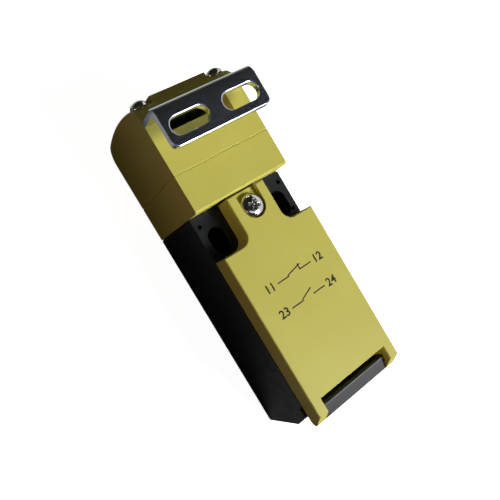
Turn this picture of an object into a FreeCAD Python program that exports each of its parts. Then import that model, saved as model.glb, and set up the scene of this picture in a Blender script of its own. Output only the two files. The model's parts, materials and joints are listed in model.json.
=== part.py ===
import FreeCAD, Part
import Sketcher
import math
import os

# Tongue interlock switch, millimetres.
# The back face lies in the XY plane and is bolted to a machine frame.
# +Z points out of the back face to the cover, +Y runs up the housing to the head.
# The origin is the middle of the two fixing holes, on the back face.

Vector = FreeCAD.Vector

SIZES = {
    # Housing
    "body_width": 31.0,
    "body_depth": 33.0,
    "cover_depth": 6.5,
    "lower_length": 55.3,
    "head_seat": 8.7,
    "back_wall": 2.5,
    "side_wall": 2.5,
    "chamber_top": 8.5,
    "entry_length": 9.8,
    "entry_radius": 7.25,
    "entry_height": 9.5,
    "chamber_corner": 2.0,
    "base_corner": 0.8,
    # Blind pits beside the fixing slots
    "pit_side": 1.6,
    "pit_radius": 0.6,
    "pit_depth": 1.0,
    "pit_high": 5.6,
    "pit_low": 2.8,
    # Foot of the base, cut back under the hinged end of the cover
    "toe_height": 5.7,
    "toe_step": 1.4,
    "toe_chamfer": 2.6,
    "toe_depth": 7.9,
    # Fixing holes: a long slot from the front, a round hole in the last millimetres
    "fixing_spacing": 22.0,
    "fixing_radius": 2.15,
    "fixing_seat": 4.0,
    "slot_width": 5.0,
    "slot_length": 7.8,
    # Hinge of the cover
    "hinge_up": 3.1,
    "hinge_depth": 4.0,
    "knuckle_web": 1.5,
    "knuckle_ridge": 2.0,
    "knuckle_slope": 0.3,
    "knuckle_lip": 2.0,
    "knuckle_edge": 0.6,
    "knuckle_inset": 3.5,
    "stub_radius": 1.1,
    "stub_length": 2.2,
    # Cover
    "cover_gap": 0.1,
    "cover_inset": 0.2,
    "cover_wall": 2.0,
    "neck_half": 6.2,
    "neck_round": 3.0,
    "neck_gap": 0.5,
    "shoulder": 4.7,
    "cutout_height": 6.8,
    "cutout_clearance": 0.15,
    "cover_edge": 0.25,
    "foot_slant": 2.9,
    "foot_end": 1.9,
    "foot_round": 1.5,
    "gasket_width": 1.3,
    "gasket_height": 1.1,
    "gasket_overlap": 0.1,
    # Cover screw and its brass insert
    "screw_up": 3.4,
    "screw_radius": 1.5,
    "screw_head_radius": 3.3,
    "screw_head_height": 2.4,
    "screw_head_edge": 0.9,
    "screw_seat_depth": 1.8,
    "screw_grip": 3.0,
    "screw_play": 0.3,
    "notch_play": 0.25,
    "insert_radius": 2.7,
    "insert_length": 5.0,
    # Head
    "collar_height": 10.9,
    "head_height": 32.4,
    "head_corner": 5.3,
    "head_front_height": 26.0,
    "corner_lean": 15.0,
    "collar_floor": 5.0,
    "cavity_side": 5.9,
    "cavity_front": 6.5,
    "cavity_back": 2.5,
    "cavity_roof": 29.2,
    "collar_edge": 0.6,
    "seam_edge": 0.2,
    # Key slots of the head
    "mouth_half": 9.8,
    "mouth_low": 18.5,
    "mouth_depth": 4.4,
    "slot_low": 22.5,
    "slot_play": 0.3,
    "plateau_half": 9.0,
    "plateau_front": 2.5,
    "plateau_length": 12.0,
    "plateau_rise": 0.2,
    # Head screws, on a square so that the head can be turned
    "head_screw_side": 3.25,
    "head_screw_inset": 4.25,
    "small_head_radius": 2.5,
    "small_head_height": 2.2,
    "small_head_edge": 0.9,
    "pocket_play": 0.2,
    "head_screw_seat": 30.8,
    "head_screw_end": 3.0,
    "thread_play": 0.05,
    # Screws that hold the collar on the base
    "collar_screw_side": 2.8,
    "collar_screw_inset": 5.5,
    "collar_screw_depth": 6.0,
    "flat_head_radius": 2.6,
    "flat_head_height": 1.8,
    # Key
    "key_thickness": 2.0,
    "key_inset": 0.1,
    "key_reach": 9.3,
    "key_top": 27.0,
    "flange_height": 11.8,
    "bend_radius": 3.0,
    "flange_corner": 1.8,
    "key_slot_margin": 1.7,
    "key_slot_width": 4.8,
    "key_slot_web": 4.6,
    "key_slot_drop": 7.0,
    "key_edge": 0.4,
    "tongue_half": 7.5,
    "tongue_corner": 1.5,
    "crossbar": 2.5,
    "window_length": 9.5,
    "window_half": 4.3,
    "stop_gap": 0.05,
    # Cam wheel
    "wheel_gap": 0.5,
    "tongue_sink": 2.5,
    "wheel_half": 4.0,
    "hub_radius": 3.6,
    "axle_radius": 2.0,
    "axle_grip": 2.3,
    "running_gap": 0.05,
    "notch_half": 2.0,
    "notch_depth": 2.9,
    "wheel_turn": 70.0,
    "cam_step": 5.5,
    "cam_lift": 3.5,
    "cam_margin": 15.0,
    "rim_angle": 26.0,
    # Plunger and its spring
    "plunger_gap": 0.25,
    "nose_radius": 1.5,
    "nose_half": 3.6,
    "nose_height": 2.5,
    "plate_radius": 3.8,
    "plate_height": 1.2,
    "stem_radius": 2.0,
    "spring_wire": 0.5,
    "spring_radius": 3.1,
    "spring_turns": 3.5,
    "spring_seat": 0.8,
    "spring_bore": 4.2,
    "seal_radius": 4.4,
    "seal_height": 1.5,
    # Contact block
    "block_gap": 0.2,
    "block_length": 26.8,
    "block_height": 17.0,
    "carrier_half": 3.1,
    "carrier_gap": 0.1,
    "carrier_length": 20.0,
    "carrier_drop": 0.8,
    "bridge_half": 6.6,
    "bridge_thickness": 0.8,
    "bridge_width": 3.6,
    "channel_half": 7.0,
    "channel_behind": 3.0,
    "strip_thickness": 0.8,
    "strip_inner": 4.2,
    "strip_inset": 0.6,
    "strip_behind": 2.4,
    "tip_radius": 1.2,
    "tip_height": 0.6,
    "tip_spacing": 10.6,
    "touch_gap": 0.05,
    "upper_strip": 3.8,
    "terminal_length": 6.4,
    "terminal_inset": 3.2,
    "washer_side": 5.4,
    "washer_height": 0.8,
    "terminal_screw_depth": 5.5,
    "bridge_spacing": 8.0,
    "block_screw_up": 3.0,
    "block_screw_radius": 1.2,
    "contact_wire": 0.4,
    "contact_spring_radius": 1.3,
    "contact_spring_turns": 3.0,
    "contact_spring_room": 3.0,
    # Drawing of the springs
    "wire_sides": 8,
    "turn_steps": 8,
}

doc = FreeCAD.newDocument("TongueInterlockSwitch")
sheet = doc.addObject("Spreadsheet::Sheet", "Sizes")
for row, (name, number) in enumerate(SIZES.items(), start=1):
    sheet.set("A%d" % row, name)
    sheet.set("B%d" % row, str(number))
    sheet.setAlias("B%d" % row, name)
doc.recompute()


class Size:
    """A length that knows its value and the sheet expression that gives it."""

    def __init__(self, value, text):
        self.value = value
        self.text = text

    def __add__(self, other):
        return combine(self, "+", other)

    def __radd__(self, other):
        return combine(other, "+", self)

    def __sub__(self, other):
        return combine(self, "-", other)

    def __rsub__(self, other):
        return combine(other, "-", self)

    def __mul__(self, other):
        return combine(self, "*", other)

    def __rmul__(self, other):
        return combine(other, "*", self)

    def __truediv__(self, other):
        return combine(self, "/", other)

    def __neg__(self):
        return combine(0, "-", self)


def as_size(thing):
    if isinstance(thing, Size):
        return thing
    return Size(float(thing), repr(float(thing)))


def combine(first, sign, second):
    left, right = as_size(first), as_size(second)
    if sign == "+":
        value = left.value + right.value
    elif sign == "-":
        value = left.value - right.value
    elif sign == "*":
        value = left.value * right.value
    else:
        value = left.value / right.value
    return Size(value, "(%s %s %s)" % (left.text, sign, right.text))


def size(name):
    return Size(SIZES[name], "Sizes." + name)


def bind(thing, prop, amount):
    """Ties one property of a document object to the sheet."""
    thing.setExpression(prop, as_size(amount).text)


# Features of a PartDesign body

PLANE_SIGN = {"XY_Plane": 1, "YZ_Plane": 1, "XZ_Plane": -1}


def new_body(label):
    body = doc.addObject("PartDesign::Body", label)
    body.Label = label
    return body


def new_sketch(body, name, role, offset):
    """A sketch on one of the body's own origin planes, moved along the plane's normal."""
    sketch = body.newObject("Sketcher::SketchObject", name)
    plane = next(item for item in body.Origin.OriginFeatures if item.Role == role)
    sketch.AttachmentSupport = [(plane, "")]
    sketch.MapMode = "FlatFace"
    bind(sketch, "AttachmentOffset.Base.z", offset)
    return sketch


def fix(sketch, kind, geometry, point, amount):
    """Sets one coordinate of a sketch point, measured from the sketch's origin."""
    amount = as_size(amount)
    index = sketch.addConstraint(Sketcher.Constraint(kind, -1, 1, geometry, point, amount.value))
    sketch.setExpression("Constraints[%d]" % index, amount.text)


def outline(sketch, steps):
    """Draws a closed outline.

    A step of two sizes is a corner. A step of four is a corner reached by an arc of less
    than a half turn, with the arc's centre after the corner. The last step joins the first.
    """
    ends = []
    for place, step in enumerate(steps):
        before = steps[place - 1]
        start = Vector(as_size(before[0]).value, as_size(before[1]).value, 0)
        end = Vector(as_size(step[0]).value, as_size(step[1]).value, 0)
        if len(step) == 2:
            index = sketch.addGeometry(Part.LineSegment(start, end))
            ends.append((index, 1, 2))
            continue
        centre = Vector(as_size(step[2]).value, as_size(step[3]).value, 0)
        turn = (start - centre).cross(end - centre).z
        first, last = (start, end) if turn > 0 else (end, start)
        circle = Part.Circle(centre, Vector(0, 0, 1), (start - centre).Length)
        angles = [math.atan2(p.y - centre.y, p.x - centre.x) for p in (first, last)]
        index = sketch.addGeometry(Part.ArcOfCircle(circle, angles[0], angles[1]))
        ends.append((index, 1, 2) if turn > 0 else (index, 2, 1))
        chord_is_level = abs(start.y - end.y) < 1e-9
        if chord_is_level:
            fix(sketch, "DistanceY", index, 3, step[3])
        else:
            fix(sketch, "DistanceX", index, 3, step[2])
    for place, (index, _, last) in enumerate(ends):
        following, first, _ = ends[(place + 1) % len(ends)]
        fix(sketch, "DistanceX", index, last, steps[place][0])
        fix(sketch, "DistanceY", index, last, steps[place][1])
        sketch.addConstraint(Sketcher.Constraint("Coincident", index, last, following, first))


def rectangle(sketch, across, up):
    outline(sketch, [(across[0], up[0]), (across[1], up[0]), (across[1], up[1]), (across[0], up[1])])


def circles(sketch, centres, radius):
    for across, up in centres:
        middle = Vector(as_size(across).value, as_size(up).value, 0)
        shape = Part.Circle(middle, Vector(0, 0, 1), as_size(radius).value)
        index = sketch.addGeometry(shape)
        fix(sketch, "DistanceX", index, 3, across)
        fix(sketch, "DistanceY", index, 3, up)
        ring = sketch.addConstraint(Sketcher.Constraint("Radius", index, as_size(radius).value))
        sketch.setExpression("Constraints[%d]" % ring, as_size(radius).text)


def stadium(sketch, across, up, half_width, half_run, upright):
    """A slot with round ends. half_run is from the slot's middle to the centre of an end."""
    def turned(a, b):
        return (across + b, up + a) if not upright else (across + a, up + b)

    def arc(a, b, end):
        return turned(a, b) + turned(0, end)

    outline(sketch, [
        turned(half_width, half_run),
        arc(0, half_run + half_width, half_run),
        arc(-half_width, half_run, half_run),
        turned(-half_width, -half_run),
        arc(0, -half_run - half_width, -half_run),
        arc(half_width, -half_run, -half_run),
    ])


def extrude(body, kind, name, role, span, draw):
    """A Pad or a Pocket between two places along the normal of an origin plane."""
    sign = PLANE_SIGN[role]
    sketch = new_sketch(body, name + "Sketch", role, span[0] * sign)
    draw(sketch)
    feature = body.newObject("PartDesign::" + kind, name)
    feature.Profile = sketch
    feature.Reversed = (sign < 0) if kind == "Pad" else (sign > 0)
    bind(feature, "Length", span[1] - span[0])
    return feature


def block(body, kind, name, x, y, z):
    """A box-shaped Pad or Pocket, each of x, y and z a low and a high place."""
    return extrude(body, kind, name, "XY_Plane", z, lambda sketch: rectangle(sketch, x, y))


def rods(body, kind, name, role, centres, radius, span):
    return extrude(body, kind, name, role, span, lambda sketch: circles(sketch, centres, radius))


def lies(edge, **places):
    """True where the whole edge lies at the places given for x, y or z, or spans a pair of them."""
    box = edge.BoundBox
    for axis, place in places.items():
        ends = place if isinstance(place, tuple) else (place, place)
        reach = (getattr(box, axis.upper() + "Min"), getattr(box, axis.upper() + "Max"))
        if any(abs(found - as_size(wanted).value) > 1e-4 for found, wanted in zip(reach, ends)):
            return False
    return True


def dress(body, kind, name, amount, places, apart=()):
    """A Fillet or a Chamfer on every edge that lies at one of the places, and at none of those apart."""
    doc.recompute()
    base = body.Tip
    edges = ["Edge%d" % number for number, edge in enumerate(base.Shape.Edges, start=1)
             if any(lies(edge, **place) for place in places)
             and not any(lies(edge, **place) for place in apart)]
    feature = body.newObject("PartDesign::" + kind, name)
    feature.Base = (base, edges)
    bind(feature, "Radius" if kind == "Fillet" else "Size", amount)
    return feature


def both(place):
    """The same distance to the left and to the right of the middle."""
    return (-place, place)


# Places that several pieces share. up is Y, height is Z.

half_width = size("body_width") / 2
depth = size("body_depth")
base_front = depth - size("cover_depth")
lower_end = -size("lower_length")
head_seat = size("head_seat")
chamber_half = half_width - size("side_wall")
chamber_low = lower_end + size("entry_length")
chamber_high = -size("chamber_top")
cover_back = base_front + size("cover_gap")
hinge_up = lower_end + size("hinge_up")
hinge_height = depth - size("hinge_depth")
knuckle_half = half_width - size("knuckle_inset")
screw_up = size("screw_up")
screw_seat = depth - size("screw_seat_depth")
seam = head_seat + size("collar_height")
cavity_half = half_width - size("cavity_side")
cavity_span = (size("cavity_back"), depth - size("cavity_front"))
wheel_radius = (cavity_span[1] - cavity_span[0]) / 2 - size("wheel_gap")
wheel_z = (cavity_span[0] + cavity_span[1]) / 2
tongue_low = head_seat + size("key_top") - size("key_thickness")
wheel_up = tongue_low - wheel_radius + size("tongue_sink")
cam_radius = wheel_radius - size("cam_step")
axle_half = cavity_half + size("axle_grip")
key_half = half_width - size("key_inset")
head_middle = depth / 2


def above(height):
    """A place on the head, measured up from its seat on the base."""
    return head_seat + height


def behind(distance):
    """A place measured back from the front face of the head and the cover."""
    return depth - distance


head_screw_spots = [(x, z) for x in both(half_width - size("head_screw_side"))
                    for z in (size("head_screw_inset"), behind(size("head_screw_inset")))]
collar_screw_spots = [(x, z) for x in both(cavity_half - size("collar_screw_side"))
                      for z in (size("collar_screw_inset"), base_front - size("collar_screw_inset"))]


seam_rim = [{"y": seam, "z": depth}, {"y": seam, "z": 0}] + [{"y": seam, "x": x} for x in both(half_width)]


# Base

def make_base():
    body = new_body("base_housing")
    toe = base_front - size("toe_step")
    extrude(body, "Pad", "BaseProfile", "YZ_Plane", both(half_width), lambda sketch: outline(sketch, [
        (lower_end, 0),
        (head_seat, 0),
        (head_seat, base_front),
        (lower_end + size("toe_height"), base_front),
        (lower_end + size("toe_height"), toe),
        (lower_end + size("toe_chamfer"), toe),
        (lower_end, base_front - size("toe_depth")),
    ]))
    dress(body, "Fillet", "BaseCorners", size("base_corner"), [
        {"x": x, "y": head_seat} for x in both(half_width)])
    make_hinge(body, toe)
    block(body, "Pocket", "Chamber", both(chamber_half), (chamber_low, chamber_high),
          (size("back_wall"), base_front))
    dress(body, "Fillet", "ChamberCorners", size("chamber_corner"), [
        {"x": x, "y": y} for x in both(chamber_half) for y in (chamber_low, chamber_high)])
    rods(body, "Pocket", "CableEntry", "XZ_Plane", [(0, size("entry_height"))],
         size("entry_radius"), (lower_end, chamber_low))
    fixing = [(x, 0) for x in both(size("fixing_spacing") / 2)]
    slot_half = size("slot_width") / 2

    def fixing_slots(sketch):
        for x, y in fixing:
            stadium(sketch, x, y, slot_half, size("slot_length") / 2 - slot_half, True)

    extrude(body, "Pocket", "FixingSlots", "XY_Plane", (size("fixing_seat"), base_front), fixing_slots)
    rods(body, "Pocket", "FixingHoles", "XY_Plane", fixing, size("fixing_radius"),
         (0, size("fixing_seat")))
    pits = [(x, up) for x in both(half_width - size("pit_side"))
            for up in (size("pit_high"), -size("pit_low"))]
    rods(body, "Pocket", "Pits", "XY_Plane", pits, size("pit_radius"),
         (base_front - size("pit_depth"), base_front))
    rods(body, "Pocket", "InsertSeat", "XY_Plane", [(0, screw_up)], size("insert_radius"),
         (base_front - size("insert_length"), base_front))
    rods(body, "Pocket", "StemBore", "XZ_Plane", [(0, wheel_z)],
         size("stem_radius") + size("running_gap"), (chamber_high, head_seat))
    rods(body, "Pocket", "SealSeat", "XZ_Plane", [(0, wheel_z)], size("seal_radius"),
         (head_seat - size("seal_height"), head_seat))
    rods(body, "Pocket", "CollarScrewHoles", "XZ_Plane", collar_screw_spots,
         size("screw_radius") + size("thread_play"), (head_seat - size("collar_screw_depth"), head_seat))
    rods(body, "Pocket", "BlockScrewHoles", "XY_Plane", block_screw_spots(),
         size("block_screw_radius"), (size("back_wall") / 2, size("back_wall")))


def make_hinge(body, toe):
    """The knuckle in the cut-out of the cover, with a slanted face and a stub at each end."""
    web = size("knuckle_web")
    ridge = hinge_height + size("knuckle_ridge")
    slope_end = hinge_height - size("knuckle_slope")
    extrude(body, "Pad", "Knuckle", "YZ_Plane", both(knuckle_half), lambda sketch: outline(sketch, [
        (hinge_up - web, toe - size("toe_chamfer")),
        (hinge_up + web, toe - size("toe_chamfer")),
        (hinge_up + web, ridge),
        (lower_end, slope_end),
        (lower_end, hinge_height - size("knuckle_lip")),
        (hinge_up - web, toe),
    ]))
    dress(body, "Fillet", "KnuckleEdges", size("knuckle_edge"), [
        {"y": hinge_up + web, "z": ridge},
        {"y": lower_end, "z": slope_end},
    ] + [{"x": x, "y": (lower_end, hinge_up + web), "z": (slope_end, ridge)} for x in both(knuckle_half)])
    rods(body, "Pad", "HingeStubs", "YZ_Plane", [(hinge_up, hinge_height)], size("stub_radius"),
         both(knuckle_half + size("stub_length")))


def make_insert():
    body = new_body("screw_insert")
    span = (base_front - size("insert_length"), base_front)
    rods(body, "Pad", "InsertBody", "XY_Plane", [(0, screw_up)], size("insert_radius"), span)
    rods(body, "Pocket", "InsertBore", "XY_Plane", [(0, screw_up)],
         size("screw_radius") + size("screw_play"), span)


def make_seal():
    body = new_body("plunger_seal")
    span = (head_seat - size("seal_height"), head_seat)
    rods(body, "Pad", "SealRing", "XZ_Plane", [(0, wheel_z)], size("seal_radius"), span)
    rods(body, "Pocket", "SealBore", "XZ_Plane", [(0, wheel_z)],
         size("stem_radius") + size("running_gap"), span)


# Cover, its gasket and its captive screw

def make_cover():
    body = new_body("cover")
    half = half_width - size("cover_inset")
    neck = size("neck_half")
    bend = size("neck_round")
    shoulder = -size("shoulder")
    top = head_seat - size("neck_gap")
    cutout = knuckle_half + size("cutout_clearance")
    cutout_top = lower_end + size("cutout_height")
    extrude(body, "Pad", "CoverPlate", "XY_Plane", (cover_back, depth), lambda sketch: outline(sketch, [
        (-half, shoulder),
        (-half, lower_end),
        (-cutout, lower_end),
        (-cutout, cutout_top),
        (cutout, cutout_top),
        (cutout, lower_end),
        (half, lower_end),
        (half, shoulder),
        (neck + bend, shoulder),
        (neck, shoulder + bend, neck + bend, shoulder + bend),
        (neck, top),
        (-neck, top),
        (-neck, shoulder + bend),
        (-neck - bend, shoulder, -neck - bend, shoulder + bend),
    ]))
    dress(body, "Chamfer", "FrontEdges", size("cover_edge"), [{"z": depth}], [{"y": lower_end}])
    extrude(body, "Pocket", "FootSlants", "YZ_Plane", both(half), lambda sketch: outline(sketch, [
        (lower_end, depth),
        (lower_end, cover_back + size("foot_end")),
        (lower_end + size("foot_slant"), depth),
    ]))
    dress(body, "Fillet", "FootRounds", size("foot_round"), [{"y": lower_end, "z": cover_back}])
    seal_low, seal_high, seal_half = gasket_inner()
    width = size("gasket_width")
    ledge = cover_back + size("gasket_height")
    block(body, "Pocket", "GasketSeat", both(seal_half + width), (seal_low - width, seal_high + width),
          (cover_back, ledge))
    block(body, "Pocket", "CoverHollow", both(seal_half), (seal_low, seal_high),
          (ledge, depth - size("cover_wall")))
    bore_end = knuckle_half + size("stub_length") + size("cutout_clearance")
    rods(body, "Pocket", "StubBores", "YZ_Plane", [(hinge_up, hinge_height)],
         size("stub_radius") + size("running_gap"), both(bore_end))
    rods(body, "Pocket", "ScrewHole", "XY_Plane", [(0, screw_up)],
         size("screw_radius") + size("notch_play"), (cover_back, screw_seat))
    notch = size("screw_head_radius") + size("notch_play")
    extrude(body, "Pocket", "ScrewNotch", "XY_Plane", (screw_seat, depth),
            lambda sketch: outline(sketch, [
                (notch, top),
                (-notch, top),
                (-notch, screw_up),
                (0, screw_up - notch, 0, screw_up),
                (notch, screw_up, 0, screw_up),
            ]))


def gasket_inner():
    overlap = size("gasket_overlap")
    return chamber_low - overlap, chamber_high + overlap, chamber_half + overlap


def make_gasket():
    body = new_body("cover_gasket")
    low, high, half = gasket_inner()
    width = size("gasket_width")
    span = (base_front + size("touch_gap"), cover_back + size("gasket_height"))
    block(body, "Pad", "GasketSheet", both(half + width), (low - width, high + width), span)
    block(body, "Pocket", "GasketWindow", both(half), (low, high), span)


def make_cover_screw():
    body = new_body("cover_screw")
    seat = screw_seat
    tip = base_front - size("screw_grip")
    head_top = seat + size("screw_head_height")
    rods(body, "Pad", "ScrewHead", "XY_Plane", [(0, screw_up)], size("screw_head_radius"),
         (seat, head_top))
    rods(body, "Pad", "ScrewShank", "XY_Plane", [(0, screw_up)], size("screw_radius"), (tip, seat))
    dress(body, "Chamfer", "HeadEdge", size("screw_head_edge"), [{"z": head_top}])


# Head

def make_collar():
    body = new_body("head_collar")
    floor = above(size("collar_floor"))
    block(body, "Pad", "CollarBlock", both(half_width), (head_seat, seam), (0, depth))
    dress(body, "Chamfer", "CollarEdge", size("collar_edge"), [{"y": head_seat, "z": depth}])
    dress(body, "Chamfer", "SeamEdge", size("seam_edge"), seam_rim)
    block(body, "Pocket", "CollarCavity", both(cavity_half), (floor, seam), cavity_span)
    post = size("axle_radius") - size("running_gap") * 2
    post_top = wheel_up - size("axle_radius") - size("running_gap")
    for side, low, high in (("Left", -axle_half, -cavity_half - size("running_gap") * 2),
                            ("Right", cavity_half + size("running_gap") * 2, axle_half)):
        block(body, "Pad", side + "AxlePost", (low, high), (seam, post_top),
              (wheel_z - post, wheel_z + post))
    rods(body, "Pocket", "StemPassage", "XZ_Plane", [(0, wheel_z)],
         size("stem_radius") + size("running_gap"), (head_seat, floor))
    rods(body, "Pocket", "SpringPocket", "XZ_Plane", [(0, wheel_z)], size("spring_bore"),
         (above(size("spring_seat")), floor))
    rods(body, "Pocket", "HeadScrewHoles", "XZ_Plane", head_screw_spots,
         size("screw_radius") + size("thread_play"), (above(size("head_screw_end")), seam))
    rods(body, "Pocket", "CollarScrewPassages", "XZ_Plane", collar_screw_spots,
         size("screw_radius") + size("thread_play"), (head_seat, floor))


def make_shell():
    body = new_body("head_shell")
    corner = size("head_corner")
    straight = above(size("head_front_height"))
    lean = math.radians(SIZES["corner_lean"])
    crown_up = straight + corner * math.cos(lean)
    crown_in = corner - corner * math.sin(lean)
    top = above(size("head_height"))
    rise = (top - crown_up).value
    reach = (head_middle - crown_in).value
    crown_radius = Size((rise * rise + reach * reach) / (2 * rise),
                        "(({0})^2 + ({1})^2) / (2 * ({0}))".format(
                            (top - crown_up).text, (head_middle - crown_in).text))
    crown_centre = top - crown_radius
    extrude(body, "Pad", "ShellProfile", "YZ_Plane", both(half_width), lambda sketch: outline(sketch, [
        (seam, 0),
        (straight, 0),
        (crown_up, crown_in, straight, corner),
        (crown_up, depth - crown_in, crown_centre, head_middle),
        (straight, depth, straight, depth - corner),
        (seam, depth),
    ]))
    dress(body, "Chamfer", "SeamEdge", size("seam_edge"), seam_rim)
    plateau = (behind(size("plateau_front") + size("plateau_length")), behind(size("plateau_front")))
    block(body, "Pad", "TopRim", both(size("plateau_half")), (straight, top + size("plateau_rise")), plateau)
    roof = above(size("cavity_roof"))
    block(body, "Pocket", "ShellCavity", both(cavity_half), (seam, roof), cavity_span)
    slot_low = above(size("slot_low"))
    slot_high = above(size("key_top") + size("slot_play"))
    mouth_back = behind(size("mouth_depth"))
    extrude(body, "Pocket", "FrontMouth", "YZ_Plane", both(size("mouth_half")),
            lambda sketch: outline(sketch, [
                (above(size("mouth_low")), depth),
                (slot_low, mouth_back),
                (slot_high, mouth_back),
                (slot_high, depth),
            ]))
    slot_half = size("tongue_half") + size("slot_play")
    block(body, "Pocket", "FrontSlot", both(slot_half), (slot_low, slot_high),
          (behind(size("cavity_front")), mouth_back))
    near = slot_low - wheel_up
    far = slot_high - wheel_up
    block(body, "Pocket", "TopSlot", both(slot_half), (roof, top + size("plateau_rise")),
          (wheel_z + near, wheel_z + far))
    axle = size("axle_radius") + size("running_gap")
    extrude(body, "Pocket", "AxleSlots", "YZ_Plane", both(axle_half + size("running_gap")),
            lambda sketch: outline(sketch, [
                (seam, wheel_z - axle),
                (wheel_up, wheel_z - axle),
                (wheel_up + axle, wheel_z, wheel_up, wheel_z),
                (wheel_up, wheel_z + axle, wheel_up, wheel_z),
                (seam, wheel_z + axle),
            ]))
    seat = above(size("head_screw_seat"))
    rods(body, "Pocket", "ScrewPassages", "XZ_Plane", head_screw_spots,
         size("screw_radius") + size("thread_play"), (seam, seat))
    rods(body, "Pocket", "ScrewPockets", "XZ_Plane", head_screw_spots,
         size("small_head_radius") + size("pocket_play"), (seat, top))


def make_head_screws():
    body = new_body("head_screws")
    seat = above(size("head_screw_seat"))
    head_top = seat + size("small_head_height")
    rods(body, "Pad", "Heads", "XZ_Plane", head_screw_spots, size("small_head_radius"), (seat, head_top))
    rods(body, "Pad", "Shanks", "XZ_Plane", head_screw_spots, size("screw_radius"),
         (above(size("head_screw_end")), seat))
    dress(body, "Chamfer", "HeadEdges", size("small_head_edge"), [{"y": head_top}])


def make_collar_screws():
    body = new_body("collar_screws")
    seat = above(size("collar_floor"))
    head_top = seat + size("flat_head_height")
    rods(body, "Pad", "Heads", "XZ_Plane", collar_screw_spots, size("flat_head_radius"), (seat, head_top))
    rods(body, "Pad", "Shanks", "XZ_Plane", collar_screw_spots, size("screw_radius"),
         (head_seat - size("collar_screw_depth"), seat))


# Key: a bent plate with a windowed tongue

def make_key():
    body = new_body("actuator_key")
    top = above(size("key_top"))
    thick = size("key_thickness")
    front = depth + size("key_reach")
    flange_low = top - size("flange_height")
    shoulder = depth + size("stop_gap")
    half_turn = Size(math.tan(math.radians(SIZES["wheel_turn"] / 2)), "tan(Sizes.wheel_turn / 2 * 1 deg)")
    swing = (tongue_low + thick / 2 - wheel_up) * half_turn
    tip = wheel_z - swing - size("crossbar") / 2
    extrude(body, "Pad", "BentPlate", "YZ_Plane", both(key_half), lambda sketch: outline(sketch, [
        (top - thick, tip),
        (top, tip),
        (top, front),
        (flange_low, front),
        (flange_low, front - thick),
        (top - thick, front - thick),
    ]))
    bend = size("bend_radius")
    dress(body, "Fillet", "OuterBend", bend, [{"y": top, "z": front}])
    dress(body, "Fillet", "InnerBend", bend - thick, [{"y": top - thick, "z": front - thick}])

    def beside_tongue(sketch):
        for across in ((size("tongue_half"), key_half), (-key_half, -size("tongue_half"))):
            rectangle(sketch, across, (tip, shoulder))

    extrude(body, "Pocket", "Shoulders", "XZ_Plane", (top - thick, top), beside_tongue)
    crossbar = tip + size("crossbar")
    extrude(body, "Pocket", "Window", "XZ_Plane", (top - thick, top), lambda sketch: rectangle(
        sketch, both(size("window_half")), (crossbar, crossbar + size("window_length"))))
    dress(body, "Chamfer", "TongueCorners", size("tongue_corner"),
          [{"x": x, "z": tip} for x in both(size("tongue_half"))])
    dress(body, "Fillet", "FlangeCorners", size("flange_corner"),
          [{"x": x, "y": flange_low} for x in both(key_half)])
    slot_half = size("key_slot_width") / 2
    slot_length = key_half - size("key_slot_margin") - size("key_slot_web") / 2

    def key_slots(sketch):
        for x in both((slot_length + size("key_slot_web")) / 2):
            stadium(sketch, x, top - size("key_slot_drop"), slot_half, slot_length / 2 - slot_half, False)

    extrude(body, "Pocket", "KeySlots", "XY_Plane", (front - thick, front), key_slots)
    dress(body, "Fillet", "KeyEdges", size("key_edge"), [{"z": front}], [{"y": top - bend}])


# Cam wheel, its axle and the plunger that rides on it

def make_wheel():
    """The wheel's outline in its own plane: a rim cut by the notch, and a spiral opposite it.

    Angles are from the notch, positive to the back of the head. The radius of the spiral
    grows in proportion to the angle, so that the plunger moves in step with the wheel.
    """
    turn = SIZES["wheel_turn"]
    margin = SIZES["cam_margin"]
    start = 180 - turn / 2
    end = 180 + turn / 2
    rim = SIZES["rim_angle"]
    radius = wheel_radius.value
    floor = radius - SIZES["notch_depth"]
    notch = SIZES["notch_half"]

    def spot(angle, distance):
        turned = math.radians(angle)
        return Vector(0, distance * math.cos(turned), -distance * math.sin(turned))

    def cam(angle):
        return cam_radius.value + SIZES["cam_lift"] * (angle - start) / turn

    def corner(side, distance):
        return Vector(0, distance, -side * notch)

    lip = math.sqrt(radius * radius - notch * notch)
    flank = math.degrees(math.asin(notch / radius))
    spiral = Part.BSplineCurve()
    low, high = start - margin, end + margin
    steps = int(SIZES["turn_steps"])
    spiral.interpolate([spot(angle, cam(angle)) for angle in
                        (low + (high - low) * step / steps for step in range(steps + 1))])
    low_spot, high_spot = spot(low, cam(low)), spot(high, cam(high))
    edges = [
        Part.makeLine(corner(-1, lip), corner(-1, floor)),
        Part.makeLine(corner(-1, floor), corner(1, floor)),
        Part.makeLine(corner(1, floor), corner(1, lip)),
        Part.Arc(corner(1, lip), spot((flank + rim) / 2, radius), spot(rim, radius)).toShape(),
        Part.makeLine(spot(rim, radius), low_spot),
        spiral.toShape(),
        Part.makeLine(high_spot, spot(-rim, radius)),
        Part.Arc(spot(-rim, radius), spot(-(flank + rim) / 2, radius), corner(-1, lip)).toShape(),
    ]
    half = SIZES["wheel_half"]
    disc = Part.Face(Part.Wire(edges)).extrude(Vector(2 * half, 0, 0))
    disc.translate(Vector(-half, 0, 0))
    hub_half = cavity_half.value - SIZES["slot_play"]
    across = Vector(1, 0, 0)
    hub = Part.makeCylinder(SIZES["hub_radius"], 2 * hub_half, Vector(-hub_half, 0, 0), across)
    bore = Part.makeCylinder(SIZES["axle_radius"] + SIZES["running_gap"], 2 * hub_half,
                             Vector(-hub_half, 0, 0), across)
    wheel = doc.addObject("Part::Feature", "cam_wheel")
    wheel.Label = "cam_wheel"
    wheel.Shape = disc.fuse(hub).cut(bore).removeSplitter()
    placement = FreeCAD.Placement(Vector(0, wheel_up.value, wheel_z.value),
                                  FreeCAD.Rotation(across, -turn / 2))
    wheel.Placement = placement


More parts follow.
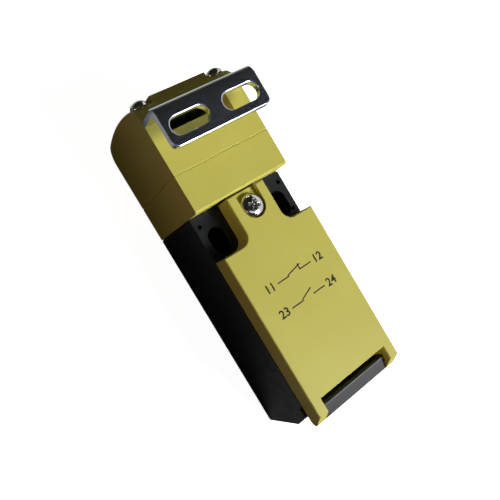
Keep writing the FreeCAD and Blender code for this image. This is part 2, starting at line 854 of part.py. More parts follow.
def make_axle():
    axle = doc.addObject("Part::Cylinder", "cam_axle")
    axle.Label = "cam_axle"
    bind(axle, "Radius", size("axle_radius"))
    bind(axle, "Height", axle_half * 2)
    axle.Placement = FreeCAD.Placement(Vector(0, 0, 0), FreeCAD.Rotation(Vector(0, 1, 0), 90))
    bind(axle, "Placement.Base.x", -axle_half)
    bind(axle, "Placement.Base.y", wheel_up)
    bind(axle, "Placement.Base.z", wheel_z)


nose_top = wheel_up - cam_radius - size("plunger_gap")
plate_top = nose_top - size("nose_height")
plate_low = plate_top - size("plate_height")
carrier_top = chamber_high - size("block_gap") - size("carrier_drop")


def make_plunger():
    body = new_body("head_plunger")
    nose = size("nose_radius")
    extrude(body, "Pad", "Nose", "YZ_Plane", both(size("nose_half")), lambda sketch: outline(sketch, [
        (plate_top, wheel_z - nose),
        (nose_top - nose, wheel_z - nose),
        (nose_top, wheel_z, nose_top - nose, wheel_z),
        (nose_top - nose, wheel_z + nose, nose_top - nose, wheel_z),
        (plate_top, wheel_z + nose),
    ]))
    rods(body, "Pad", "Plate", "XZ_Plane", [(0, wheel_z)], size("plate_radius"), (plate_low, plate_top))
    rods(body, "Pad", "Stem", "XZ_Plane", [(0, wheel_z)], size("stem_radius"), (carrier_top, plate_low))


def coil(wire, radius, turns, bottom, top, x, z):
    """A coil spring along Y, its eight-sided wire centred on a helix between the two ends."""
    height = top - bottom - wire
    helix = Part.makeHelix(height / turns, height, radius)
    sides = int(SIZES["wire_sides"])
    corners = [Vector(wire / 2, 0, 0)]
    for _ in range(sides):
        corners.append(FreeCAD.Rotation(Vector(0, 1, 0), 360 / sides).multVec(corners[-1]))
    corners[-1] = corners[0]
    ring = Part.makePolygon([corner + Vector(radius, 0, 0) for corner in corners])
    spring = Part.Wire(helix).makePipeShell([ring], True, True)
    spring.rotate(Vector(0, 0, 0), Vector(1, 0, 0), -90)
    spring.translate(Vector(x, bottom + wire / 2, z))
    return spring


def make_plunger_spring():
    spring = doc.addObject("Part::Feature", "plunger_spring")
    spring.Label = "plunger_spring"
    spring.Shape = coil(SIZES["spring_wire"], SIZES["spring_radius"], SIZES["spring_turns"],
                        above(size("spring_seat")).value, plate_low.value, 0, wheel_z.value)


# Contact block, one opening and one closing contact with two gaps each

block_top = chamber_high - size("block_gap")
block_low = block_top - size("block_length")
block_back = size("back_wall")
block_front = block_back + size("block_height")
strip_high = block_top - size("upper_strip")
block_half = chamber_half - size("block_gap")
terminal_half = block_half - size("terminal_inset")
strip_outer = block_half - size("strip_inset")
bridge_high = strip_high - size("strip_thickness") - size("tip_height") * 2 - size("touch_gap")
bridge_low = bridge_high - size("bridge_spacing")
strip_low = (bridge_low - size("bridge_thickness") - size("tip_height") * 2 - size("touch_gap")
             - size("cam_lift"))
tip_half = size("tip_spacing") / 2
tip_centre = wheel_z
terminal_spots = [(x, y) for x in both(terminal_half)
                  for y in (strip_high - size("terminal_length") / 2,
                            strip_low - size("strip_thickness") + size("terminal_length") / 2)]


def block_screw_spots():
    return [(x, block_low + size("block_screw_up")) for x in both(terminal_half)]


def make_contact_block():
    body = new_body("contact_block")
    carrier = size("carrier_half") + size("carrier_gap")
    block(body, "Pad", "BlockBody", both(block_half), (block_low, block_top), (block_back, block_front))
    dress(body, "Fillet", "BlockCorners", size("chamber_corner"),
          [{"x": x, "y": block_top} for x in both(block_half)])
    shaft_low = carrier_top - size("carrier_length") - size("cam_lift") - size("block_gap")
    block(body, "Pocket", "CarrierShaft", both(carrier), (shaft_low, block_top),
          (wheel_z - carrier, wheel_z + carrier))
    channel = (tip_centre - size("channel_behind"), block_front)
    gap = size("block_gap")
    block(body, "Pocket", "OpeningChannel", both(size("channel_half")),
          (bridge_high - size("bridge_thickness") - size("cam_lift") - gap, strip_high + gap), channel)
    block(body, "Pocket", "ClosingChannel", both(size("channel_half")),
          (strip_low - size("strip_thickness") - gap, bridge_low + gap), channel)
    slack = size("touch_gap")
    for name, high in (("Upper", strip_high), ("Lower", strip_low)):
        block(body, "Pocket", name + "StripGroove", both(strip_outer + slack),
              (high - size("strip_thickness") - slack, high + slack),
              (tip_centre - size("strip_behind"), block_front))
    rods(body, "Pocket", "TerminalHoles", "XY_Plane", terminal_spots,
         size("screw_radius") + size("thread_play"),
         (block_front - size("terminal_screw_depth"), block_front))
    rods(body, "Pocket", "BlockScrewPassages", "XY_Plane", block_screw_spots(),
         size("block_screw_radius") + size("thread_play"), (block_back, block_front))


def make_terminals():
    """Each terminal stands in its groove and folds over the front of the block."""
    body = new_body("terminal_plates")
    inner, outer = size("strip_inner"), strip_outer
    thick = size("strip_thickness")
    foot = (tip_centre - size("strip_behind"), block_front)
    seat = (block_front, block_front + thick)
    run = size("terminal_length")
    side = size("washer_side") / 2
    for name, sign in (("Left", -1), ("Right", 1)):
        def span(near, far):
            return (near * sign, far * sign) if sign > 0 else (far * sign, near * sign)
        for level, high, seat_span in (("Upper", strip_high, (strip_high - run, strip_high)),
                                       ("Lower", strip_low, (strip_low - thick, strip_low - thick + run))):
            block(body, "Pad", name + level + "Strip", span(inner, outer), (high - thick, high), foot)
            block(body, "Pad", name + level + "Seat", span(terminal_half - side, outer), seat_span, seat)
    rods(body, "Pocket", "TerminalScrewPassages", "XY_Plane", terminal_spots,
         size("screw_radius") + size("thread_play"), seat)


def make_tips(label, places):
    """Contact rivets along Y, two on each level."""
    body = new_body(label)
    for name, low in places:
        rods(body, "Pad", name, "XZ_Plane", [(x, tip_centre) for x in both(tip_half)],
             size("tip_radius"), (low, low + size("tip_height")))


def make_carrier():
    body = new_body("contact_carrier")
    half = size("carrier_half")
    low = carrier_top - size("carrier_length")
    block(body, "Pad", "CarrierBar", both(half), (low, carrier_top), (wheel_z - half, wheel_z + half))
    across = (tip_centre - size("bridge_width") / 2 - size("touch_gap"),
              tip_centre + size("bridge_width") / 2 + size("touch_gap"))
    room = size("contact_spring_room")
    thick = size("bridge_thickness")
    block(body, "Pocket", "UpperWindow", both(half), (bridge_high - thick - room, bridge_high), across)
    block(body, "Pocket", "LowerWindow", both(half), (bridge_low - thick, bridge_low + room), across)


def make_bridges():
    body = new_body("contact_bridges")
    half = size("bridge_width") / 2
    for name, high in (("UpperBridge", bridge_high), ("LowerBridge", bridge_low)):
        block(body, "Pad", name, both(size("bridge_half")), (high - size("bridge_thickness"), high),
              (tip_centre - half, tip_centre + half))


def make_contact_springs():
    springs = doc.addObject("Part::Feature", "contact_springs")
    springs.Label = "contact_springs"
    room = SIZES["contact_spring_room"]
    shapes = [coil(SIZES["contact_wire"], SIZES["contact_spring_radius"], SIZES["contact_spring_turns"],
                   bottom, bottom + room, 0, tip_centre.value)
              for bottom in ((bridge_high - size("bridge_thickness")).value - room, bridge_low.value)]
    springs.Shape = Part.makeCompound(shapes)


def make_terminal_screws():
    body = new_body("terminal_screws")
    washer_top = block_front + size("strip_thickness") + size("washer_height")
    head_top = washer_top + size("flat_head_height")
    rods(body, "Pad", "Heads", "XY_Plane", terminal_spots, size("flat_head_radius"), (washer_top, head_top))
    rods(body, "Pad", "Shanks", "XY_Plane", terminal_spots, size("screw_radius"),
         (block_front - size("terminal_screw_depth"), washer_top))


def make_washers():
    body = new_body("clamp_washers")
    low = block_front + size("strip_thickness")
    high = low + size("washer_height")
    side = size("washer_side") / 2

    def squares(sketch):
        for x, y in terminal_spots:
            rectangle(sketch, (x - side, x + side), (y - side, y + side))

    extrude(body, "Pad", "Squares", "XY_Plane", (low, high), squares)
    rods(body, "Pocket", "WasherHoles", "XY_Plane", terminal_spots,
         size("screw_radius") + size("thread_play"), (low, high))


def make_block_screws():
    body = new_body("block_screws")
    spots = block_screw_spots()
    rods(body, "Pad", "Heads", "XY_Plane", spots, size("block_screw_radius") * 2,
         (block_front, block_front + size("flat_head_height")))
    rods(body, "Pad", "Shanks", "XY_Plane", spots, size("block_screw_radius"),
         (block_back / 2, block_front))


make_base()
make_insert()
make_seal()
make_cover()
make_gasket()
make_cover_screw()
make_collar()
make_shell()
make_head_screws()
make_collar_screws()
make_key()
make_wheel()
make_axle()
make_plunger()
make_plunger_spring()
make_contact_block()
make_terminals()
make_tips("fixed_tips", [("UpperTips", strip_high - size("strip_thickness") - size("tip_height")),
                         ("LowerTips", strip_low)])
make_carrier()
make_bridges()
make_tips("moving_tips", [("UpperTips", bridge_high),
                          ("LowerTips", bridge_low - size("bridge_thickness") - size("tip_height"))])
make_contact_springs()
make_terminal_screws()
make_washers()
make_block_screws()
doc.recompute()

# Checks and files

nodes = [item for item in doc.Objects
         if item.TypeId in ("PartDesign::Body", "Part::Feature", "Part::Cylinder")]
for item in doc.Objects:
    if "Invalid" in item.State or "Error" in item.State:
        raise RuntimeError("%s failed: %s" % (item.Name, item.State))
    if item.TypeId in ("PartDesign::Pad", "PartDesign::Pocket") and item.BaseFeature:
        change = item.Shape.Volume - item.BaseFeature.Shape.Volume
        if (change > 0) != (item.TypeId == "PartDesign::Pad") or abs(change) < 1e-3:
            raise RuntimeError("%s of %s changes nothing" % (item.Name, item.getParent().Label))
for item in nodes:
    if item.Shape.isNull() or not item.Shape.isValid() or not item.Shape.Solids:
        raise RuntimeError("%s has no valid solid" % item.Label)

os.makedirs("parts", exist_ok=True)
for item in nodes:
    item.Shape.exportStep("parts/%s.step" % item.Label)
    box = item.Shape.BoundBox
    print("%-16s %d solids, x %.2f %.2f, y %.2f %.2f, z %.2f %.2f, volume %.0f" % (
        item.Label, len(item.Shape.Solids), box.XMin, box.XMax, box.YMin, box.YMax,
        box.ZMin, box.ZMax, item.Shape.Volume))
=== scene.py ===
import bpy
import json
import math
from mathutils import Matrix, Vector


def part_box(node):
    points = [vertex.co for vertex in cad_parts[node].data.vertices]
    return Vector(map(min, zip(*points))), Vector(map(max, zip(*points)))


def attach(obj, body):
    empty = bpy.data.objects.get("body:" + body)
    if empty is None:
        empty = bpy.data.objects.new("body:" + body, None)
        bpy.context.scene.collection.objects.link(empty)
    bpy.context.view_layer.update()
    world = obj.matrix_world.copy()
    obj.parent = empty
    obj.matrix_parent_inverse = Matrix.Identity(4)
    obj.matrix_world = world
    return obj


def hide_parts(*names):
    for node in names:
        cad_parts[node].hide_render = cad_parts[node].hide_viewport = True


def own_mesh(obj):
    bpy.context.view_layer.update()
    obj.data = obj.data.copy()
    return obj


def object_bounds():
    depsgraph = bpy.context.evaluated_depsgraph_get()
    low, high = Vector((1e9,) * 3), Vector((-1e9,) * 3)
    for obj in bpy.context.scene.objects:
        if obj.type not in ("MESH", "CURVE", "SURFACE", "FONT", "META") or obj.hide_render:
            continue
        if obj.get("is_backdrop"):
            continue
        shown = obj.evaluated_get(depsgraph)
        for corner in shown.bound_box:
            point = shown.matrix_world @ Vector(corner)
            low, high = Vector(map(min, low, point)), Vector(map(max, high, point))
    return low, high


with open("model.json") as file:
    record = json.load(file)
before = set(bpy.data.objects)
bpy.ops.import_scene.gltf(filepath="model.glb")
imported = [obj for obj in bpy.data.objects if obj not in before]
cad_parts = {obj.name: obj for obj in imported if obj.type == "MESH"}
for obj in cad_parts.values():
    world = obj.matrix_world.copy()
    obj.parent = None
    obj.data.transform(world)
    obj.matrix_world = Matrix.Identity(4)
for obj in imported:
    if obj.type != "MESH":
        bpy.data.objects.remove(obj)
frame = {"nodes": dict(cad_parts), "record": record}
cad_low, cad_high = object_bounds()

MM = 0.001


# Helpers

def place(name, data, matrix=None):
    """A new object of the scene."""
    made = bpy.data.objects.new(name, data)
    if matrix is not None:
        made.matrix_world = matrix
    bpy.context.scene.collection.objects.link(made)
    return made


def facing(at, direction):
    """Matrix of an object at a point, its +Z turned to a direction."""
    return Matrix.Translation(at) @ Vector(direction).to_track_quat("Z", "Y").to_matrix().to_4x4()


def map_range(tree, source, low, high, start=0.0, end=1.0):
    """Output that maps start..end of a source onto low..high."""
    node = tree.nodes.new("ShaderNodeMapRange")
    node.inputs["From Min"].default_value = start
    node.inputs["From Max"].default_value = end
    node.inputs["To Min"].default_value = low
    node.inputs["To Max"].default_value = high
    tree.links.new(source, node.inputs["Value"])
    return node.outputs["Result"]


def mix_colours(tree, factor, first, second):
    """Colour output between two colours, by a factor output."""
    node = tree.nodes.new("ShaderNodeMix")
    node.data_type = "RGBA"
    node.inputs["A"].default_value = first
    node.inputs["B"].default_value = second
    tree.links.new(factor, node.inputs["Factor"])
    return node.outputs["Result"]


# Camera, fitted to the edges of the part in the photograph

forward = Vector((0.43842, -0.04634, -0.89758)).normalized()
up = Vector((0.76099, -0.51222, 0.39815)).normalized().cross(forward).normalized()
right = forward.cross(up).normalized()
view = Matrix((right, up, -forward)).transposed().to_4x4()
view.translation = Vector((-0.075474, 0.000992, 0.171478))
cam_data = bpy.data.cameras.new("camera")
cam_data.sensor_width = 36.0
cam_data.lens = 42.955
cam_data.clip_start = 0.001
cam_data.clip_end = 20.0
bpy.context.scene.camera = place("camera", cam_data, view)


# Materials

def srgb(red, green, blue):
    """Linear colour of an 8-bit screen colour."""
    def linear(level):
        level /= 255
        return level / 12.92 if level < 0.04045 else ((level + 0.055) / 1.055) ** 2.4
    return (linear(red), linear(green), linear(blue), 1.0)


class Material:
    """A Principled material whose colour, roughness and bump come from noise in object space."""

    def __init__(self, name):
        self.material = bpy.data.materials.new(name)
        self.material.use_nodes = True
        self.tree = self.material.node_tree
        self.nodes = self.tree.nodes
        self.shader = self.nodes["Principled BSDF"]
        self.coords = self.nodes.new("ShaderNodeTexCoord")
        self.bumped = None

    def link(self, source, target):
        self.tree.links.new(source, target)

    def noise(self, scale, detail, stretch=None):
        """Noise output. scale is in lumps per metre."""
        node = self.nodes.new("ShaderNodeTexNoise")
        node.inputs["Scale"].default_value = scale
        node.inputs["Detail"].default_value = detail
        source = self.coords.outputs["Object"]
        if stretch:
            mapping = self.nodes.new("ShaderNodeMapping")
            mapping.inputs["Scale"].default_value = stretch
            self.link(source, mapping.inputs["Vector"])
            source = mapping.outputs["Vector"]
        self.link(source, node.inputs["Vector"])
        return node.outputs["Fac"]

    def spread(self, source, low, high):
        """Maps the middle of a noise onto low..high."""
        return map_range(self.tree, source, low, high, start=0.3, end=0.7)

    def colour(self, first, second, scale):
        """Base colour that drifts between two colours."""
        drift = self.spread(self.noise(scale, detail=3), 0, 1)
        self.link(mix_colours(self.tree, drift, first, second), self.shader.inputs["Base Color"])

    def roughness(self, source, low, high):
        """Roughness that follows a noise from low to high."""
        self.link(self.spread(source, low, high), self.shader.inputs["Roughness"])

    def bump(self, source, distance, strength=1.0):
        """One more layer of relief, over those before it."""
        node = self.nodes.new("ShaderNodeBump")
        node.inputs["Distance"].default_value = distance
        node.inputs["Strength"].default_value = strength
        self.link(source, node.inputs["Height"])
        if self.bumped:
            self.link(self.bumped.outputs["Normal"], node.inputs["Normal"])
        self.link(node.outputs["Normal"], self.shader.inputs["Normal"])
        self.bumped = node


def moulded(name, first, second, grain, rough, specular):
    """Moulded plastic: slow drift of colour and roughness, fine grain and a shallow wave."""
    made = Material(name)
    made.colour(first, second, scale=60)
    made.roughness(made.noise(scale=300, detail=4), rough - 0.06, rough + 0.06)
    made.bump(made.noise(scale=4500, detail=3), distance=grain)
    made.bump(made.noise(scale=120, detail=2), distance=grain * 6, strength=0.3)
    made.shader.inputs["Specular IOR Level"].default_value = specular
    return made.material


def metal(name, first, second, rough_low, rough_high, scale, stretch, depth):
    """Plated or drawn metal with faint lines along one direction."""
    made = Material(name)
    made.colour(first, second, scale=90)
    lines = made.noise(scale, detail=3, stretch=stretch)
    made.roughness(lines, rough_low, rough_high)
    made.bump(lines, distance=depth, strength=0.4)
    made.shader.inputs["Metallic"].default_value = 1.0
    return made.material


# Slot, two screen colours, depth of the grain in metres, roughness, specular level
PLASTICS = (
    ("yellow_plastic", (204, 197, 93), (199, 190, 88), 0.000006, 0.45, 0.35),
    ("black_plastic", (15, 18, 21), (21, 24, 28), 0.00001, 0.42, 0.4),
    ("grey_plastic", (60, 61, 64), (70, 71, 74), 0.000006, 0.5, 0.4),
    ("white_plastic", (225, 224, 216), (214, 213, 204), 0.000004, 0.45, 0.4),
    ("seal_rubber", (28, 28, 28), (38, 37, 36), 0.00002, 0.75, 0.3),
)
# Slot, two screen colours, lowest and highest roughness, lines per metre, how much closer they lie
# in X, Y and Z, their depth in metres
METALS = (
    ("plated_steel", (222, 227, 235), (208, 214, 225), 0.12, 0.22, 900, (1, 6, 6), 0.000001),
    ("screw_steel", (205, 203, 198), (186, 184, 178), 0.06, 0.13, 1500, (1, 1, 4), 0.000002),
    ("wheel_zinc", (176, 178, 182), (158, 160, 164), 0.3, 0.45, 1200, (1, 1, 1), 0.000004),
    ("contact_brass", (204, 176, 104), (184, 152, 84), 0.2, 0.35, 1200, (5, 1, 5), 0.000002),
    ("contact_silver", (214, 213, 208), (196, 195, 190), 0.2, 0.3, 1500, (1, 1, 1), 0.000001),
    ("spring_steel", (150, 150, 150), (128, 128, 130), 0.22, 0.34, 3000, (4, 4, 1), 0.000001),
)
materials = {}
for table, recipe in ((PLASTICS, moulded), (METALS, metal)):
    for slot, first, second, *values in table:
        materials[slot] = recipe(slot, srgb(*first), srgb(*second), *values)

for part in frame["record"]["subparts"]:
    node = frame["nodes"][part["node"]]
    if not node.material_slots:
        node.data.materials.append(materials[part["material_slot"]])
    for item in node.material_slots:
        item.material = materials[part["material_slot"]]


# Screws: turned and threaded, with a cross recess

SEGMENTS = 96
HEAD_RINGS = 34
RINGS_PER_TURN = 6
SHANK_RADIUS = 1.5 * MM
PITCH = 0.5 * MM


def mesh_object(name, vertices, faces, material, smooth=True):
    """A new mesh with one material."""
    mesh = bpy.data.meshes.new(name)
    mesh.from_pydata(vertices, [], faces)
    mesh.update()
    if smooth:
        mesh.shade_smooth()
    mesh.materials.append(material)
    return place(name, mesh)


def smooth_step(value):
    """0 up to 0, 1 from 1 on, and a soft slope between."""
    value = min(1.0, max(0.0, value))
    return value * value * (3 - 2 * value)


def cross_recess(x, y, radius):
    """Share of the recess's depth at a point of the head: four tapered wings and a round middle."""
    half, reach, middle = 0.11 * radius, 0.48 * radius, 0.21 * radius
    edge, slope = 0.05 * radius, 0.16 * radius

    def wing(along, across):
        inside = smooth_step((half + edge / 2 - abs(across)) / edge)
        return inside * smooth_step((reach - abs(along)) / slope)

    return max(wing(x, y), wing(y, x), smooth_step((middle - math.hypot(x, y)) / edge))


def on_circle(angle, radius, height):
    """A point at an angle round Z."""
    return (radius * math.cos(angle), radius * math.sin(angle), height)


def screw_rings(head_radius, head_height, length, spin):
    """Rings of points from the middle of the head's top down to the tip, the seat at Z = 0."""
    angles = [2 * math.pi * k / SEGMENTS for k in range(SEGMENTS)]
    rim = 0.16 * head_height
    crown = head_height - rim
    deepest = 0.62 * head_height
    lowest = 0.25 * head_height
    crowding, roundness = 1.35, 2.2
    rings = []
    for step in range(1, HEAD_RINGS + 1):
        radius = head_radius * (1 - (1 - step / HEAD_RINGS) ** crowding)
        dome = rim + crown * math.sqrt(max(0.0, 1 - (radius / head_radius) ** roundness))
        depth = min(deepest, dome - lowest)
        ring = []
        for angle in angles:
            x, y, top = on_circle(angle + spin, radius, dome)
            ring.append(on_circle(angle, radius, top - depth * cross_recess(x, y, head_radius)))
        rings.append(ring)
    under = ((head_radius, 0.4 * rim), (0.97 * head_radius, 0.0), (1.02 * SHANK_RADIUS, 0.0))
    for radius, height in under:
        rings.append([on_circle(angle, radius, height) for angle in angles])
    thread = 0.14 * SHANK_RADIUS
    chamfer = 0.8 * PITCH
    steps = max(1, int(length / PITCH * RINGS_PER_TURN))
    for step in range(steps + 1):
        height = -length * step / steps
        above_tip = smooth_step((length + height) / chamfer)
        below_seat = smooth_step(-height / PITCH)
        ring = []
        for k, angle in enumerate(angles):
            tooth = abs(2 * ((height / PITCH + k / SEGMENTS) % 1.0) - 1)
            cut = tooth * (above_tip * below_seat) + 0.9 * (1 - above_tip)
            ring.append(on_circle(angle, SHANK_RADIUS - thread * cut, height))
        rings.append(ring)
    return rings


def screws(name, seats, axis, head_radius, head_height, length, spins):
    """One piece with a screw at each seat, its head towards axis. spins turns the recesses, in radians."""
    turn = Vector(axis).to_track_quat("Z", "X").to_matrix()
    vertices, faces = [], []
    for seat, spin in zip(seats, spins):
        rings = screw_rings(head_radius, head_height, length, spin)
        top = sum(point[2] for point in rings[0]) / SEGMENTS
        first = len(vertices)
        points = [(0, 0, top)] + [point for ring in rings for point in ring] + [(0, 0, -length)]
        vertices += [tuple(Vector(seat) + turn @ Vector(point)) for point in points]
        last = len(vertices) - 1
        for k in range(SEGMENTS):
            after = (k + 1) % SEGMENTS
            faces.append((first, first + 1 + k, first + 1 + after))
            for ring in range(len(rings) - 1):
                low = first + 1 + ring * SEGMENTS
                faces.append((low + k, low + SEGMENTS + k, low + SEGMENTS + after, low + after))
            low = first + 1 + (len(rings) - 1) * SEGMENTS
            faces.append((low + k, last, low + after))
    return mesh_object(name, vertices, faces, materials["screw_steel"])


# The cover's screw has a wider head than its solid, and stands just clear of its seat in the cover.
WIDER = 0.2 * MM
LIFT = 0.02 * MM
low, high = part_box("cover_screw")
centre = (low + high) / 2
head_radius = (high.x - low.x) / 2 + WIDER
head_height = 2.4 * MM - LIFT
seat_z = high.z - head_height
seats = [(centre.x, centre.y, seat_z)]
piece = screws("cover_screw_turned", seats, (0, 0, 1), head_radius, head_height,
               seat_z - low.z, [0.5])
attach(piece, "screw")
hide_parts("cover_screw")

low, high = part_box("head_screws")
head_radius = 2.5 * MM
head_height = 2.2 * MM
seat_y = high.y - head_height
seats = [(x, seat_y, z) for x in (low.x + head_radius, high.x - head_radius)
         for z in (low.z + head_radius, high.z - head_radius)]
piece = screws("head_screws_turned", seats, (0, 1, 0), head_radius, head_height,
               seat_y - low.y, [0.3, 1.1, 0.7, 0.1])
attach(piece, "housing")
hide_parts("head_screws")

low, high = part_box("terminal_screws")
head_radius = 2.6 * MM
head_height = 1.8 * MM
seat_z = high.z - head_height
seats = [(x, y, seat_z) for x in (low.x + head_radius, high.x - head_radius)
         for y in (low.y + head_radius, high.y - head_radius)]
piece = screws("terminal_screws_turned", seats, (0, 0, 1), head_radius, head_height,
               seat_z - low.z, [0.9, 0.2, 0.5, 1.3])
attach(piece, "housing")
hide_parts("terminal_screws")


# The plunger's spring, a wire coil over the length of its solid

WIRE_RADIUS = 0.25 * MM
WIRE_SIDES = 12
COIL_TURNS = 3.5
STEPS_PER_TURN = 32


def coil(name, centre, radius, bottom, top):
    """A closed wire wound along Y between two heights."""
    steps = int(COIL_TURNS * STEPS_PER_TURN)
    height = top - bottom - 2 * WIRE_RADIUS
    vertices, faces = [], []
    for step in range(steps + 1):
        angle = 2 * math.pi * COIL_TURNS * step / steps
        middle_y = bottom + WIRE_RADIUS + height * step / steps
        for k in range(WIRE_SIDES):
            around = 2 * math.pi * k / WIRE_SIDES
            reach = radius + WIRE_RADIUS * math.cos(around)
            y = middle_y + WIRE_RADIUS * math.sin(around)
            vertices.append((centre.x + reach * math.cos(angle), y, centre.z + reach * math.sin(angle)))
    for step in range(steps):
        low = step * WIRE_SIDES
        for k in range(WIRE_SIDES):
            after = (k + 1) % WIRE_SIDES
            faces.append((low + k, low + after, low + WIRE_SIDES + after, low + WIRE_SIDES + k))
    faces.append(tuple(reversed(range(WIRE_SIDES))))
    faces.append(tuple(range(steps * WIRE_SIDES, (steps + 1) * WIRE_SIDES)))
    return mesh_object(name, vertices, faces, materials["spring_steel"])


low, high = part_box("plunger_spring")
centre = (low + high) / 2
piece = coil("return_spring", centre, (high.x - low.x) / 2 - WIRE_RADIUS, low.y, high.y)
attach(piece, "housing")
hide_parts("plunger_spring")
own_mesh(piece)


# Print on the cover: the two contacts and the numbers of their terminals

INK_DEPTH = 0.02 * MM
LINE = 0.34 * MM
DIGIT_SIZE = 3.3 * MM
DIGIT_WEIGHT = 0.07 * MM
NUMBER_X = 8.5 * MM
WIRE_END = 5.8 * MM
CONTACT_END = 2.0 * MM
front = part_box("cover")[1].z
ink = moulded("ink", srgb(38, 34, 26), srgb(52, 47, 34), grain=0.000002, rough=0.6, specular=0.25)


def stroke(start, end):
    """Corners of a straight line of ink."""
    start, end = Vector(start), Vector(end)
    along = (end - start).normalized() * LINE / 2
    across = Vector((-along.y, along.x))
    return [tuple(start - along - across), tuple(end + along - across),
            tuple(end + along + across), tuple(start - along + across)]


def printed(name, outlines):
    """Flat closed plates of ink, one for each outline on the cover's front."""
    vertices, faces = [], []
    for outline in outlines:
        first, count = len(vertices), len(outline)
        for z in (front - INK_DEPTH, front + INK_DEPTH):
            vertices += [(x, y, z) for x, y in outline]
        faces.append(tuple(first + count + k for k in range(count)))
        faces.append(tuple(first + k for k in reversed(range(count))))
        for k in range(count):
            after = (k + 1) % count
            faces.append((first + k, first + after, first + count + after, first + count + k))
    made = mesh_object(name, vertices, faces, ink, smooth=False)
    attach(made, "cover")


def number(text, x, y):
    """Digits whose middle is at a point of the cover's front."""
    curve = bpy.data.curves.new("print_" + text, "FONT")
    curve.body = text
    curve.size = DIGIT_SIZE
    curve.align_x = "CENTER"
    curve.align_y = "CENTER"
    curve.extrude = INK_DEPTH
    curve.offset = DIGIT_WEIGHT
    curve.resolution_u = 4
    curve.materials.append(ink)
    made = place("print_" + text, curve)
    made.location = (x, y, front)
    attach(made, "cover")


# Left and right number, place along Y, whether the contact is closed
ROWS = (("11", "12", -17.5 * MM, True), ("23", "24", -25.0 * MM, False))
lines = []
for left_text, right_text, y, closed in ROWS:
    number(left_text, -NUMBER_X, y)
    number(right_text, NUMBER_X, y)
    lines.append(stroke((-WIRE_END, y), (-CONTACT_END, y)))
    lines.append(stroke((CONTACT_END, y), (WIRE_END, y)))
    if closed:
        lines.append(stroke((CONTACT_END, y + 1.02 * LINE), (CONTACT_END, y + 1.5 * MM)))
        lines.append(stroke((-CONTACT_END, y + LINE), (2.6 * MM, y + 1.3 * MM)))
    else:
        lines.append(stroke((-CONTACT_END, y + LINE), (1.8 * MM, y + 1.8 * MM)))
printed("print_contacts", lines)


# Floor, and cards that only mirrors see

def panel(name, centre, direction, width, height, material):
    """A flat card of the studio, seen from the side that it faces."""
    mesh = bpy.data.meshes.new(name)
    corners = [(-width / 2, -height / 2, 0), (width / 2, -height / 2, 0),
               (width / 2, height / 2, 0), (-width / 2, height / 2, 0)]
    mesh.from_pydata(corners, [], [(0, 1, 2, 3)])
    mesh.materials.append(material)
    card = place(name, mesh, facing(centre, direction))
    card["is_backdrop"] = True
    return card


def only_for_mirrors(card):
    """Hides a card from the camera and from diffuse rays, and lets it throw no shadow."""
    card.visible_camera = False
    card.visible_diffuse = False
    card.visible_shadow = False


def floor_material(seen, glow, mirrored, unseen):
    """Matt white: a level and a glow for the camera, a level for mirrors and one for other rays."""
    made = bpy.data.materials.new("floor")
    made.use_nodes = True
    tree = made.node_tree
    shader = tree.nodes["Principled BSDF"]
    noise = tree.nodes.new("ShaderNodeTexNoise")
    noise.inputs["Scale"].default_value = 6
    path = tree.nodes.new("ShaderNodeLightPath")

    def uneven(level):
        return map_range(tree, noise.outputs["Fac"], level * 0.97, level * 1.03)

    shown = uneven(unseen)
    for ray, level in (("Is Glossy Ray", mirrored), ("Is Camera Ray", seen)):
        choice = tree.nodes.new("ShaderNodeMix")
        tree.links.new(path.outputs[ray], choice.inputs["Factor"])
        tree.links.new(shown, choice.inputs["A"])
        tree.links.new(uneven(level), choice.inputs["B"])
        shown = choice.outputs["Result"]
    tree.links.new(shown, shader.inputs["Base Color"])
    shader.inputs["Roughness"].default_value = 0.9
    shader.inputs["Specular IOR Level"].default_value = 0.0
    shader.inputs["Emission Color"].default_value = (glow, glow, glow, 1)
    tree.links.new(path.outputs["Is Camera Ray"], shader.inputs["Emission Strength"])
    # From below the floor is clear, so that the face on it can be looked at.
    face = tree.nodes.new("ShaderNodeNewGeometry")
    clear = tree.nodes.new("ShaderNodeBsdfTransparent")
    sides = tree.nodes.new("ShaderNodeMixShader")
    tree.links.new(face.outputs["Backfacing"], sides.inputs["Fac"])
    tree.links.new(shader.outputs["BSDF"], sides.inputs[1])
    tree.links.new(clear.outputs["BSDF"], sides.inputs[2])
    tree.links.new(sides.outputs["Shader"], tree.nodes["Material Output"].inputs["Surface"])
    return made


def glowing_material(name, first, second, start, end):
    """Glows faintly, from one colour to another along the card's own upright."""
    made = bpy.data.materials.new(name)
    made.use_nodes = True
    tree = made.node_tree
    shader = tree.nodes["Principled BSDF"]
    shader.inputs["Base Color"].default_value = (0, 0, 0, 1)
    shader.inputs["Specular IOR Level"].default_value = 0.0
    shader.inputs["Emission Strength"].default_value = 1.0
    coords = tree.nodes.new("ShaderNodeTexCoord")
    parts = tree.nodes.new("ShaderNodeSeparateXYZ")
    tree.links.new(coords.outputs["Object"], parts.inputs["Vector"])
    share = map_range(tree, parts.outputs["Y"], 0.0, 1.0, start, end)
    tree.links.new(mix_colours(tree, share, first, second), shader.inputs["Emission Color"])
    return made


FLOOR_DROP = 0.3 * MM
FLOOR_SIZE = 8
panel("floor", (0, 0, cad_low.z - FLOOR_DROP), (0, 0, 1), FLOOR_SIZE, FLOOR_SIZE,
      floor_material(seen=0.8, glow=0.95, mirrored=0.18, unseen=0.02))

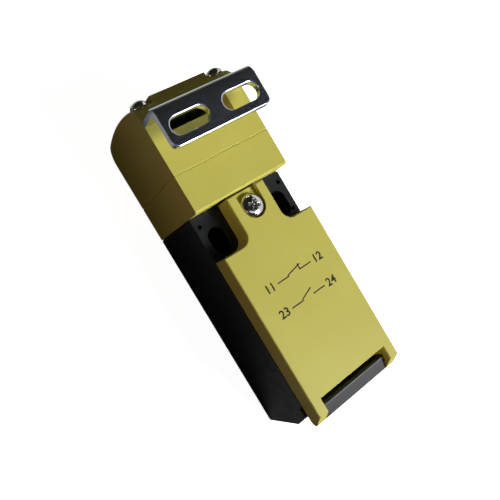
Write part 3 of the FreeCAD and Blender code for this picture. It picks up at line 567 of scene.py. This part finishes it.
# Dark cards, two over the part and three around it: direction from the part's middle, distance, width,
# colours of the lower and the upper quarter
middle = Vector((0, 0, 0.03))
cards = (
    ("card_over", (0.438, -0.14, 0.898), 1.1, 0.62, srgb(74, 82, 104), srgb(40, 42, 44)),
    ("card_sky", (0.1, 0.25, 1.0), 1.6, 2.6, srgb(34, 36, 38), srgb(46, 47, 44)),
    ("card_left", (-0.9, -0.1, 0.35), 1.5, 2.6, srgb(52, 50, 46), srgb(36, 35, 34)),
    ("card_behind", (-0.1, 0.95, 0.3), 1.4, 3.4, srgb(30, 30, 27), srgb(44, 44, 40)),
    ("card_near", (-0.3, -0.95, 0.35), 1.5, 1.8, srgb(34, 30, 34), srgb(48, 44, 48)),
)
for name, direction, distance, width, first, second in cards:
    direction = Vector(direction).normalized()
    only_for_mirrors(panel(name, middle + direction * distance, -direction, width, width,
                           glowing_material(name, first, second, -0.25 * width, 0.25 * width)))

# Pale strips on the floor that the end and the bend of the key show: middle, size in X and Y, colours
# of the -Y and the +Y edge
key_low, key_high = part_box("actuator_key")
strips = (
    ("strip_left", (key_low.x - 0.0235, key_high.y - 0.009), 0.012, 0.036,
     srgb(168, 168, 172), srgb(128, 130, 134)),
    ("strip_behind", (0.02, key_high.y + 0.055), 0.11, 0.05,
     srgb(205, 202, 190), srgb(235, 232, 222)),
)
for name, (x, y), width, height, first, second in strips:
    only_for_mirrors(panel(name, (x, y, cad_low.z), (0, 0, 1), width, height,
                           glowing_material(name, first, second, -0.5 * height, 0.5 * height)))


# Light

def lamp(name, direction, distance, across, energy, colour=(1, 1, 1)):
    """A round lamp that faces the part from a direction."""
    data = bpy.data.lights.new(name, "AREA")
    data.shape = "DISK"
    data.size = across
    data.energy = energy
    data.color = colour
    direction = Vector(direction).normalized()
    target = Vector((0, -0.005, 0.02))
    return place(name, data, facing(target + direction * distance, direction))


lamp("key", (0.42, -0.72, 0.74), distance=1.5, across=0.6, energy=25.9)
lamp("fill", (-0.8, -0.3, 0.6), distance=1.0, across=0.5, energy=0.25, colour=(1.0, 0.8, 0.62))
head_fill = lamp("head_fill", (0.25, 1.0, 0.35), distance=1.2, across=0.5, energy=0.55,
                 colour=(0.9, 1.0, 1.0))
head_fill.visible_glossy = False

# The soft lower edge of this beam shades the left side from its front to its back.
BEAM_RADIUS = 0.2
aim = Vector((cad_low.x, -0.002, 0.2))
stand = Vector((-0.85, -0.002, 0.26))
beam = bpy.data.lights.new("side", "SPOT")
beam.energy = 11.0
beam.color = (1.0, 0.62, 0.45)
beam.shadow_soft_size = 0.05
beam.spot_blend = 1.0
beam.spot_size = 2 * math.atan(BEAM_RADIUS / (aim - stand).length)
place("side", beam, facing(stand, stand - aim))

# The world is white where it is seen, mirrored or looked through, and dim as a source of light.
WORLD_LIGHT = 0.026
world = bpy.data.worlds.new("world")
bpy.context.scene.world = world
world.use_nodes = True
tree = world.node_tree
path = tree.nodes.new("ShaderNodeLightPath")
shown = path.outputs["Is Camera Ray"]
for ray in ("Is Glossy Ray", "Is Transmission Ray"):
    either = tree.nodes.new("ShaderNodeMath")
    either.operation = "MAXIMUM"
    tree.links.new(shown, either.inputs[0])
    tree.links.new(path.outputs[ray], either.inputs[1])
    shown = either.outputs[0]
back = tree.nodes["Background"]
back.inputs["Color"].default_value = (1, 1, 1, 1)
tree.links.new(map_range(tree, shown, WORLD_LIGHT, 1.0), back.inputs["Strength"])

scene = bpy.context.scene
scene.view_settings.view_transform = "Standard"

low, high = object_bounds()
